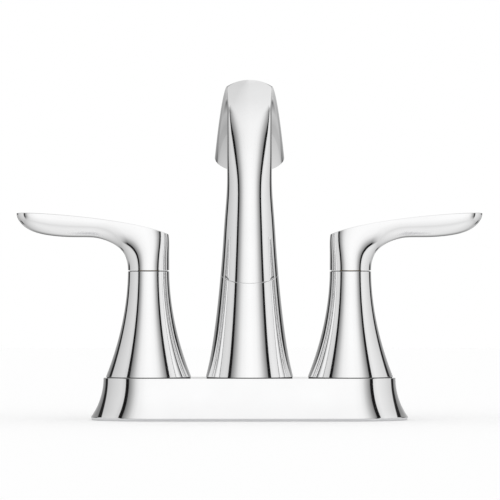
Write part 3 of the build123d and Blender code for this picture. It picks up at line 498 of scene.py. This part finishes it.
# %% Column base and spout
BASE_WALL = 2.6
SOCKET_FLOOR = 57.0
SOCKET_R = 12.0
SPIGOT_R = 11.9
SPIGOT_FOOT = 57.1
TUBE_SOCKET_R = 4.83
BORE_R = 7.0
POCKET_R = 9.0
POCKET_DEPTH = 12.0
END_WEB = 8.0
HOLLOW_PART = 0.3  # share of the column's curve that the hollow under the socket follows
HOLLOW_ROWS, BORE_ROWS = 16, 60


def seam_ring(radius):
    """A ring in the seam plane, whose normal is n: z = SEAM_HEIGHT - y * n_y / n_z."""
    ring = circles([radius], [SEAM_HEIGHT], section_angles)
    ring[..., 2] = SEAM_HEIGHT - ring[..., 1] * SEAM_NORMAL[1] / SEAM_NORMAL[2]
    return ring


hollow = bezier(COLUMN_CURVE, np.linspace(HOLLOW_PART, 0, HOLLOW_ROWS))
socket = circles([SOCKET_R, *(hollow[:, 0] - BASE_WALL)], [SOCKET_FLOOR, *hollow[:, 1]], section_angles)
base_grid = np.concatenate((base_rows, seam_ring(SOCKET_R), socket))
make_piece("spout_base_bell", base_grid, chrome, ALL_FAUCET, ["spout_base"], close_rows=True)

pocket_floor = SPINE_LENGTH - POCKET_DEPTH
end_bore = pocket_floor - END_WEB
rings = [(POCKET_R, SPINE_LENGTH), (POCKET_R, pocket_floor), (TUBE_SOCKET_R, pocket_floor),
         (TUBE_SOCKET_R, end_bore), (BORE_R, end_bore)]
bore_places = np.linspace(end_bore, SPIGOT_FOOT, BORE_ROWS)[1:]
rings += [(BORE_R, place) for place in bore_places] + [(SPIGOT_R, SPIGOT_FOOT)]
bore_rows = circles(*np.array(rings).T, section_angles)
spout_grid = np.concatenate((spout_rows, bore_rows, seam_ring(SPIGOT_R)))
make_piece("spout_shell", spout_grid, chrome, ALL_FAUCET, ["spout"], close_rows=True)

# %% [markdown]
# A handle grows out of the hub as a round neck, bends outward and becomes a lever. Sections that fan
# out from a line under the lever carry the bend without creasing, and upright sections carry the
# lever. Each is an oval of two half ellipses. A long shallow curve slices the top off, which leaves
# the flat face with its crisp outline, closed to a point at the tip like the bow of a boat.

# %% Sections of the handle
HANDLE_FOOT = 75.3
FAN_REACH = 29.0
TOP_LINE = np.array([(-10.4, 93.1), (9.1, 101.7), (64.0, 104.9), (66.5, 103.8)])
# Neck sections: fan angle, nearest, widest and furthest distance from the fan's line, half width
NECK_SECTIONS = np.array([
    (180, 18.60, 29.0, 39.4, 10.40),
    (174, 18.62, 29.1, 39.6, 10.30),
    (167, 18.68, 29.3, 40.4, 9.85),
    (160, 18.72, 29.6, 41.9, 9.20),
    (152, 18.62, 29.8, 43.6, 8.45),
    (143, 18.20, 29.8, 44.0, 7.75),
    (133, 17.55, 29.2, 42.8, 7.25),
    (120, 16.90, 28.2, 40.0, 7.05),
    (105, 16.55, 26.8, 37.2, 7.12),
])
# Lever sections: reach, underside height, widest height, half width
LEVER_SECTIONS = np.array([
    (29.0, 91.9, 101.4, 7.3),
    (38.0, 92.0, 102.2, 7.5),
    (47.0, 92.5, 102.9, 7.8),
    (54.0, 93.6, 103.4, 8.0),
    (59.0, 95.2, 103.9, 7.9),
    (62.5, 97.3, 104.0, 6.9),
    (64.8, 99.7, 104.0, 5.0),
    (66.1, 102.0, 103.9, 2.6),
    (66.6, 104.3, 105.2, 0.9),
])
LEVER_SPARE = 9.0  # height of a lever section above its widest place, before the top is sliced off


def handle_sections(angle):
    """Points at an angle round every section: 0 is the side that becomes the underside, pi the top.

    Along the section's long axis a point lies at -near cos(angle) or -far cos(angle) from the widest
    place, and across it at half width sin(angle). Angles have one row for each row of the answer.
    """
    fan, near, widest, far, half_neck = NECK_SECTIONS.T
    fan = np.radians(fan)
    neck_x, neck_z = FAN_REACH + widest * np.cos(fan), HANDLE_FOOT + widest * np.sin(fan)
    neck_mid = np.stack((neck_x, 0 * fan, neck_z), axis=-1)
    neck_axis = np.stack((np.cos(fan), 0 * fan, np.sin(fan)), axis=-1)
    reach, under, high, half_lever = LEVER_SECTIONS.T
    lever_mid = np.stack((reach, 0 * reach, high), axis=-1)
    lever_axis = np.broadcast_to([0.0, 0.0, 1.0], lever_mid.shape)
    mid, axis = np.concatenate((neck_mid, lever_mid)), np.concatenate((neck_axis, lever_axis))
    near_half = np.concatenate((widest - near, high - under))
    far_half = np.concatenate((far - widest, 0 * reach + LEVER_SPARE))
    half_width = np.concatenate((half_neck, half_lever))
    lead = (slice(None),) + (None,) * angle.ndim
    cosine = np.cos(angle)[None]
    along = -cosine * np.where(cosine > 0, near_half[lead], far_half[lead])
    across = np.sin(angle)[None] * half_width[lead]
    put = (slice(None),) + (None,) * angle.ndim + (slice(None),)
    return mid[put] + along[..., None] * axis[put] + across[..., None] * np.array([0.0, 1.0, 0.0])


print("handle sections:", len(NECK_SECTIONS), "in the neck and", len(LEVER_SECTIONS), "in the lever")

# %% [markdown]
# The spline between sections is a weighted sum of them, and its weights depend only on the place
# along the handle. So the weights are found once, by running the spline on the identity matrix, and
# any point of the body is then a plain product of weights and section points.

# %% The handle's body
TOP_LINE_POINTS = 400
ANGLE_TRIES = 1500  # points tried round each section to find where the top face starts
PLACE_TRIES = 1600  # sections tried along the handle to find where the top face begins and ends

quarters = np.radians([0, 90, 180, 270])
section_gaps = np.linalg.norm(np.diff(handle_sections(quarters), axis=0), axis=-1).mean(axis=1)
handle_knots = np.concatenate(([0], np.cumsum(section_gaps)))


def handle_body(place, angle):
    """Points at the given places along the handle (one per row) and angles (rows, columns)."""
    weights = spline(place, handle_knots, np.eye(len(handle_knots)))
    return np.einsum("rk,krcd->rcd", weights, handle_sections(angle))


def top_height(reach):
    """Height of the long shallow curve at a reach, read from points along it."""
    line = bezier(TOP_LINE, np.linspace(0, 1, TOP_LINE_POINTS))
    return np.interp(reach, line[:, 0], line[:, 1])


def cut_angle(place):
    """Angle at which each section first meets the top face: pi where it stays below it."""
    angle = np.broadcast_to(np.linspace(0, math.pi, ANGLE_TRIES), (len(place), ANGLE_TRIES))
    points = handle_body(place, angle)
    above = points[..., 2] - top_height(points[..., 0])
    first = np.argmax(above > 0, axis=1)
    row = np.arange(len(place))
    before = np.maximum(first - 1, 0)
    low, high = above[row, before], above[row, first]
    step = angle[row, first] - angle[row, before]
    met = angle[row, before] + step * -low / np.where(high > low, high - low, 1)
    return np.where(above.max(axis=1) <= 0, math.pi, np.where(first == 0, 0.0, met))


search = np.linspace(0, handle_knots[-1], PLACE_TRIES)
found = cut_angle(search)
top_start = search[np.argmax(found < math.pi)]
tip_place = search[np.argmax(found <= 0)]
print(f"top face: {top_start:.2f} to {tip_place:.2f} of {handle_knots[-1]:.2f} mm")

# %% [markdown]
# Rows are close together where the top face starts and where it ends, because its outline turns
# fastest there. Each row is a closed ring: round the body from edge to edge, then straight across the
# top face, which is crowned by a few tenths so that it mirrors as one soft gradient.

# %% The handle as a closed shell
NECK_ROWS, LEVER_ROWS = 60, 220
BODY_COLUMNS, TOP_COLUMNS = 96, 24
TOP_CROWN = 0.25  # mm, how far the middle of the top face stands up
CROWN_SHARE = 0.05  # the most that it stands up near the tip, as a share of the half width
SOCKET_TOP = 87.3
SPLINE_SOCKET_R = 4.1


def handle_shell():
    """Grid of the whole handle for an axis at 0 with the lever towards +X."""
    neck_places = np.linspace(0, top_start, NECK_ROWS, endpoint=False)
    ease = 0.5 - 0.5 * np.cos(np.linspace(0, math.pi, LEVER_ROWS))
    places = np.concatenate((neck_places, top_start + (tip_place - top_start) * ease))
    cut = cut_angle(places)
    cut[-1] = 0
    share = np.linspace(-1, 1, BODY_COLUMNS + 1)
    body = handle_body(places, cut[:, None] * share)
    first, last = body[:, :1], body[:, -1:]
    across = np.linspace(0, 1, TOP_COLUMNS + 1)[None, 1:-1, None]
    top = last + (first - last) * across
    half = np.abs(last[..., 1] - first[..., 1]) / 2
    crown = np.minimum(TOP_CROWN, half * CROWN_SHARE)
    top[..., 2] += crown * (1 - (2 * across[..., 0] - 1) ** 2)
    outer = np.concatenate((body, top), axis=1)
    ring_angle = np.concatenate((share * math.pi, np.full(TOP_COLUMNS - 1, math.pi)))
    rings = np.array([(0, SOCKET_TOP), (SPLINE_SOCKET_R, SOCKET_TOP), (SPLINE_SOCKET_R, HANDLE_FOOT)])
    radius, height = rings[:, :1], rings[:, 1:]
    x, y = radius * np.cos(ring_angle), radius * np.sin(ring_angle)
    return np.concatenate((np.stack((x, y, height + 0 * x), axis=-1), outer))


shell = handle_shell()
for side, outward in SIDES.items():
    placed = shell * np.array([outward, 1, 1]) + np.array([outward * HALF_CENTRES, 0, 0])
    body_name = f"{side}_handle"
    make_piece(f"{side}_handle_shell", placed, chrome, body_name, [body_name])

# %% [markdown]
# The other pieces keep their CAD meshes. Most hide inside, yet each gets the finish of what it is
# made of: machined brass, drawn steel, moulded plastics with a fine grain, and
# rubber that has picked up a little dust. One table drives them all.

# %% Finishes of the other pieces
# Slot: two colours that drift into each other, lowest and highest roughness, metallic, grain, bump
FINISHES = {
    "brass": ((0.72, 0.53, 0.26), (0.62, 0.44, 0.20), 0.22, 0.38, 1.0, 900, 0.10),
    "steel": ((0.62, 0.63, 0.64), (0.52, 0.53, 0.54), 0.25, 0.40, 1.0, 700, 0.10),
    "black_plastic": ((0.030, 0.030, 0.032), (0.045, 0.045, 0.048), 0.45, 0.60, 0.0, 1800, 0.25),
    "white_plastic": ((0.84, 0.84, 0.81), (0.78, 0.78, 0.75), 0.35, 0.50, 0.0, 1200, 0.15),
    "grey_plastic": ((0.45, 0.46, 0.47), (0.38, 0.39, 0.40), 0.40, 0.55, 0.0, 1500, 0.20),
    "ceramic": ((0.88, 0.87, 0.84), (0.83, 0.82, 0.79), 0.12, 0.20, 0.0, 1600, 0.05),
    "rubber": ((0.020, 0.020, 0.020), (0.045, 0.044, 0.042), 0.65, 0.85, 0.0, 1100, 0.30),
}
GRAIN_DEPTH = 0.00005  # metres
DRIFT_SIZE = 12  # a drift of colour is as long as this many grains
FINE_DETAIL = 4.0


def grained_material(name, first, second, smooth, rough, metallic, grain, bump):
    """A finish whose colour drifts slowly, with fine grain in its roughness and height."""
    material, shader = new_material(name)
    tree = material.node_tree
    shader.inputs["Metallic"].default_value = metallic
    drift = spread(tree, add_noise(tree, grain / DRIFT_SIZE), 0.0, 1.0)
    tree.links.new(mix_colours(tree, drift, first, second), shader.inputs["Base Color"])
    fine = add_noise(tree, grain, FINE_DETAIL)
    tree.links.new(spread(tree, fine, smooth, rough), shader.inputs["Roughness"])
    settings = {"Height": fine, "Strength": bump, "Distance": GRAIN_DEPTH}
    height = add_node(tree, "ShaderNodeBump", settings)
    tree.links.new(height.outputs["Normal"], shader.inputs["Normal"])
    return material


finishes = {slot: grained_material(f"{slot}_finish", *values) for slot, values in FINISHES.items()}
finishes["chrome"] = chrome
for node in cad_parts.values():
    slot = node.material_slots[0].material.name.split(".")[0]
    for place in node.material_slots:
        place.material = finishes[slot]
print("finished nodes:", len(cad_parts))

# %% [markdown]
# The studio is a light tent, and chrome shows all of it: a bright panel behind the camera, a black
# strip at each side that draws the form, paler side walls, a thin dark post further back, a dark
# corner under the roof and the far edge of a table. A painted sky can hold them all. The photograph
# shows where each one falls on the metal, so each is placed by the way the surface faces when it
# mirrors it: degrees to the side and degrees of tilt. A width here is then a width on the metal.
# A ramp is a list of (degrees, brightness), and a window one of (degrees, share of the pattern).

# %% What hangs in the tent
# The strips: distance from a strip's middle
STRIP_RAMP = ((-24, 1.0), (-17, 0.95), (-12, 0.80), (-8, 0.56), (-4.5, 0.36), (-2.5, 0.25), (-2.1, 0.01),
              (1.9, 0.01), (2.4, 0.85), (8, 1.0), (24, 1.0))
# The side walls: the same distance
WALL_RAMP = ((-60, 1.0), (-14, 1.0), (0, 0.90), (10, 0.84), (22, 0.74), (34, 0.62), (42, 0.55),
             (62, 0.74))
# Left against right: degrees to the side, and image left is negative
SIDE_RAMP = ((-90, 0.86), (-30, 0.86), (0, 1.0), (30, 1.0), (90, 1.0))
# The posts and the corner between the roof and the walls: degrees to either side
POST_RAMP = ((0, 1.0), (62.8, 1.0), (63.8, 0.03), (70.0, 0.03), (71.0, 0.42), (80, 0.62), (90, 0.85),
             (104, 1.0))
CORNER_RAMP = ((0, 1.0), (74, 1.0), (82, 0.25), (90, 0.10))
# The table, whose far edge is the faint grey line: degrees above the horizon
TABLE_RAMP = ((-90, 0.90), (-60, 0.90), (-50, 0.84), (-44, 0.78), (-36, 0.88), (-15, 1.0), (90, 1.0))
# From the floor to the roof: degrees of tilt upwards
HEIGHT_RAMP = ((-90, 0.05), (-78, 0.12), (-66, 0.52), (-54, 0.93), (-20, 1.0), (0, 1.03), (15, 1.03),
               (35, 0.98), (45, 0.95), (58, 0.86), (75, 0.80), (85, 0.84), (88, 0.98), (90, 1.0))
ramps = (STRIP_RAMP, WALL_RAMP, SIDE_RAMP, POST_RAMP, CORNER_RAMP, TABLE_RAMP, HEIGHT_RAMP)
print("tent ramps:", len(ramps), "darkest:", min(bright for stops in ramps for _, bright in stops))

# %% [markdown]
# Nothing in the tent is upright and endless. The strips stop at the table and run out to a point
# overhead, where they lean outwards. The posts lean inwards. The windows fade each pattern out where
# the real thing ends, and one takes the corner off surfaces seen almost edge-on, such as the plate's
# top, which would mirror it as a line of its own.

# %% Where each pattern ends, and how it leans
STRIP_AT = 27.3  # degrees to the side
STRIP_LEAN_UP = 0.0023  # degrees outwards per degree of upward tilt squared
STRIP_LEAN_DOWN = 0.005  # degrees inwards per degree of downward tilt squared
STRIP_END = 54.0  # degrees of upward tilt at which a strip has narrowed to nothing
STRIP_TAPER = 7.0  # power of the narrowing: a high power keeps the width until near the end
STRIP_THINNEST = 0.02  # share of the width, kept above 0 for the division
POST_LEAN = 0.0078  # degrees inwards per degree of tilt squared
# Degrees above the horizon
STRIP_FOOT_WINDOW = ((-90, 0.0), (-42, 0.0), (-22, 1.0), (90, 1.0))
# Degrees of tilt upwards
STRIP_TOP_WINDOW = ((-90, 1.0), (48, 1.0), (53, 0.0), (90, 0.0))
WALL_WINDOW = ((-90, 1.0), (28, 1.0), (52, 0.15), (90, 0.0))
POST_WINDOW = ((-90, 0.0), (-44, 0.0), (-38, 1.0), (-33, 1.0), (-28, 0.12), (-9, 0.12), (-4, 1.0),
               (38, 1.0), (46, 0.0), (90, 0.0))
CORNER_WINDOW = ((-90, 1.0), (-14, 1.0), (-6, 0.0), (40, 0.0), (46, 1.0), (66, 1.0), (76, 0.0),
                 (90, 0.0))
# Degrees between the surface and the line of sight
EDGE_ON_WINDOW = ((0, 0.0), (1.4, 0.0), (2.6, 1.0), (90, 1.0))
print("strips:", STRIP_AT, "degrees aside at eye level, gone", STRIP_END, "degrees up")

# %% [markdown]
# Four more helpers write the sky's graph: a colour ramp over any range of values, one step of
# arithmetic, a window and a product. A window mixes its pattern with plain white, so that outside it
# the product of all patterns isn't changed.

# %% Helpers for the sky
def ramp(tree, source, stops):
    """A colour ramp through (value, brightness) stops, whatever range the values span."""
    low, high = stops[0][0], stops[-1][0]
    settings = {"Value": source, "From Min": float(low), "From Max": float(high)}
    share = add_node(tree, "ShaderNodeMapRange", settings).outputs["Result"]
    node = add_node(tree, "ShaderNodeValToRGB", {"Fac": share})
    elements = node.color_ramp.elements
    while len(elements) < len(stops):
        elements.new(0.5)
    for element, (value, bright) in zip(elements, stops):
        element.position = (value - low) / (high - low)
        element.color = (bright, bright, bright, 1)
    return node.outputs["Color"]


def maths(tree, operation, first, second=0.0):
    """One Math node."""
    return add_node(tree, "ShaderNodeMath", {0: first, 1: second}, operation=operation).outputs[0]


def squared(tree, value):
    """A value times itself."""
    return maths(tree, "MULTIPLY", value, value)


def windowed(tree, pattern, place, stops):
    """A pattern where the window is 1, and plain white where it is 0."""
    mix = add_node(tree, "ShaderNodeMix", data_type="RGBA")
    tree.links.new(ramp(tree, place, stops), mix.inputs[0])
    mix.inputs[6].default_value = (1, 1, 1, 1)
    tree.links.new(pattern, mix.inputs[7])
    return mix.outputs[2]


def product(tree, first, second):
    """Two colours multiplied."""
    return add_node(tree, "ShaderNodeVectorMath", {0: first, 1: second}, operation="MULTIPLY").outputs[0]


# %% [markdown]
# A mirror faces halfway between what it shows and who looks at it. Seen from the panel, along Y, a
# point of the sky in direction d is therefore mirrored by a surface that faces d + (0, 1, 0). The
# angles of that halfway direction are the tent's coordinates. They belong to the sky and not to the
# camera, so nothing slides when another camera looks from elsewhere.

# %% Coordinates on the sky
PANEL = (0.0, 1.0, 0.0)  # direction of the panel
TO_DEGREES = 180 / math.pi

world = bpy.data.worlds.new("light_tent")
bpy.context.scene.world = world
world.use_nodes = True
tree = world.node_tree
tree.nodes.clear()
sky = add_node(tree, "ShaderNodeTexCoord").outputs["Generated"]
halfway = add_node(tree, "ShaderNodeVectorMath", {0: sky, 1: PANEL}, operation="ADD").outputs[0]
halfway = add_node(tree, "ShaderNodeVectorMath", {0: halfway}, operation="NORMALIZE").outputs[0]
facing = add_node(tree, "ShaderNodeSeparateXYZ", {0: halfway}).outputs
# Image right is -X when the camera looks along -Y
sideways = maths(tree, "MULTIPLY", maths(tree, "ARCTAN2", facing["X"], facing["Y"]), -TO_DEGREES)
tilt = maths(tree, "MULTIPLY", maths(tree, "ARCSINE", facing["Z"]), TO_DEGREES)
upright = add_node(tree, "ShaderNodeSeparateXYZ", {0: sky}).outputs["Z"]
elevation = maths(tree, "MULTIPLY", maths(tree, "ARCSINE", upright), TO_DEGREES)
edge_on = maths(tree, "MULTIPLY", maths(tree, "ARCSINE", facing["Y"]), TO_DEGREES)
aside = maths(tree, "ABSOLUTE", sideways)
print("nodes for the coordinates:", len(tree.nodes))

# %% [markdown]
# Seven patterns are multiplied. The distance from a strip is divided by what is left of the strip's
# width, which makes it run out to a point overhead. Only mirrored rays see the result: the camera sees
# plain white, and matt surfaces get the even light of a white room.

# %% Brightness of the tent
upward = maths(tree, "MAXIMUM", tilt, 0.0)
downward = maths(tree, "MAXIMUM", maths(tree, "MULTIPLY", tilt, -1.0), 0.0)
lean_up = maths(tree, "MULTIPLY", squared(tree, upward), STRIP_LEAN_UP)
lean_down = maths(tree, "MULTIPLY", squared(tree, downward), STRIP_LEAN_DOWN)
strip_middle = maths(tree, "ADD", maths(tree, "SUBTRACT", lean_up, lean_down), STRIP_AT)
off_strip = maths(tree, "SUBTRACT", aside, strip_middle)
post_lean = maths(tree, "MULTIPLY", squared(tree, tilt), POST_LEAN)
off_posts = maths(tree, "ADD", aside, post_lean)
narrowing = maths(tree, "POWER", maths(tree, "DIVIDE", upward, STRIP_END), STRIP_TAPER)
width_left = maths(tree, "MAXIMUM", maths(tree, "SUBTRACT", 1.0, narrowing), STRIP_THINNEST)

strips = ramp(tree, maths(tree, "DIVIDE", off_strip, width_left), STRIP_RAMP)
strips = windowed(tree, strips, elevation, STRIP_FOOT_WINDOW)
tent = windowed(tree, strips, tilt, STRIP_TOP_WINDOW)
corner = windowed(tree, ramp(tree, aside, CORNER_RAMP), tilt, CORNER_WINDOW)
for pattern in (
    windowed(tree, ramp(tree, off_strip, WALL_RAMP), tilt, WALL_WINDOW),
    ramp(tree, elevation, TABLE_RAMP),
    ramp(tree, sideways, SIDE_RAMP),
    windowed(tree, ramp(tree, off_posts, POST_RAMP), tilt, POST_WINDOW),
    windowed(tree, corner, edge_on, EDGE_ON_WINDOW),
    ramp(tree, tilt, HEIGHT_RAMP),
):
    tent = product(tree, tent, pattern)
path = add_node(tree, "ShaderNodeLightPath").outputs
mirrored = maths(tree, "MAXIMUM", path["Is Glossy Ray"], path["Is Transmission Ray"])
seen = add_node(tree, "ShaderNodeMix", data_type="RGBA")
tree.links.new(mirrored, seen.inputs[0])
seen.inputs[6].default_value = (1, 1, 1, 1)
tree.links.new(tent, seen.inputs[7])
light = add_node(tree, "ShaderNodeBackground", {"Color": seen.outputs[2], "Strength": 1.0})
add_node(tree, "ShaderNodeOutputWorld", {"Surface": light.outputs[0]})
print("tent nodes:", len(tree.nodes))

# %% [markdown]
# The floor is a wide matt disc. To the camera it is white paper, so it melts into the background and
# keeps only the soft shadow under the plate. The metal mirrors the disc only close to the plate, where
# the lip needs its shadow. Further out the disc fades for mirrored rays and they see the tent's own
# floor, which shades off evenly, where the disc would end in a hard horizon line.

# %% Floor
FLOOR_R = 2.2  # metres
FLOOR_SIDES = 96
FLOOR_SEEN = (0.99, 0.99, 0.99, 1)
FLOOR_LIT = (0.72, 0.72, 0.73, 1)
NEAR_FLOOR = (34.0, 50.0)  # mm from the line between the hub axes, where the metal stops mirroring it

paper = bpy.data.materials.new("paper_floor")
paper.use_nodes = True
tree = paper.node_tree
tree.nodes.clear()
path = add_node(tree, "ShaderNodeLightPath").outputs
tint = add_node(tree, "ShaderNodeMix", data_type="RGBA")
tree.links.new(path["Is Camera Ray"], tint.inputs[0])
tint.inputs[6].default_value = FLOOR_LIT
tint.inputs[7].default_value = FLOOR_SEEN
matt = add_node(tree, "ShaderNodeBsdfDiffuse", {"Color": tint.outputs[2]}).outputs[0]
place = add_node(tree, "ShaderNodeTexCoord").outputs["Object"]
spot = add_node(tree, "ShaderNodeSeparateXYZ", {0: place}).outputs
past_hub = maths(tree, "SUBTRACT", maths(tree, "ABSOLUTE", spot["X"]), HALF_CENTRES * MM)
past_hub = maths(tree, "MAXIMUM", past_hub, 0.0)
distance = maths(tree, "SQRT", maths(tree, "ADD", squared(tree, past_hub), squared(tree, spot["Y"])))
near, gone = NEAR_FLOOR
fade = {"Value": distance, "From Min": near * MM, "From Max": gone * MM}
far = add_node(tree, "ShaderNodeMapRange", fade, interpolation_type="SMOOTHSTEP").outputs["Result"]
unseen = maths(tree, "MULTIPLY", far, path["Is Glossy Ray"])
clear = add_node(tree, "ShaderNodeBsdfTransparent").outputs[0]
surface = add_node(tree, "ShaderNodeMixShader", {0: unseen, 1: matt, 2: clear})
add_node(tree, "ShaderNodeOutputMaterial", {"Surface": surface.outputs[0]})

mesh = bpy.data.meshes.new("floor")
angle = np.radians(np.arange(FLOOR_SIDES) * 360 / FLOOR_SIDES)
rim_points = np.stack((FLOOR_R * np.cos(angle), FLOOR_R * np.sin(angle), 0 * angle), axis=-1)
mesh.from_pydata(rim_points.tolist(), [], [list(range(FLOOR_SIDES))])
mesh.materials.append(paper)
floor = bpy.data.objects.new("floor", mesh)
bpy.context.scene.collection.objects.link(floor)
print("floor:", 2 * FLOOR_R, "m across")

# %% [markdown]
# The photograph is taken from behind, level with the middle of the faucet and from far away with a
# long lens, so that the hubs stand upright and neither shows its top.

# %% Camera
CAMERA_DISTANCE = 3.0
CAMERA_HEIGHT = 0.0855
CAMERA_SHIFT = -0.00025
LENS = 429.0

camera = bpy.data.objects.new("camera", bpy.data.cameras.new("camera"))
bpy.context.scene.collection.objects.link(camera)
camera.data.lens = LENS
camera.location = (CAMERA_SHIFT, CAMERA_DISTANCE, CAMERA_HEIGHT)
camera.rotation_euler = (math.radians(90), 0, math.radians(180))
bpy.context.scene.camera = camera
bpy.context.scene.view_settings.view_transform = "Standard"
print("field of view, degrees:", round(math.degrees(camera.data.angle), 2))
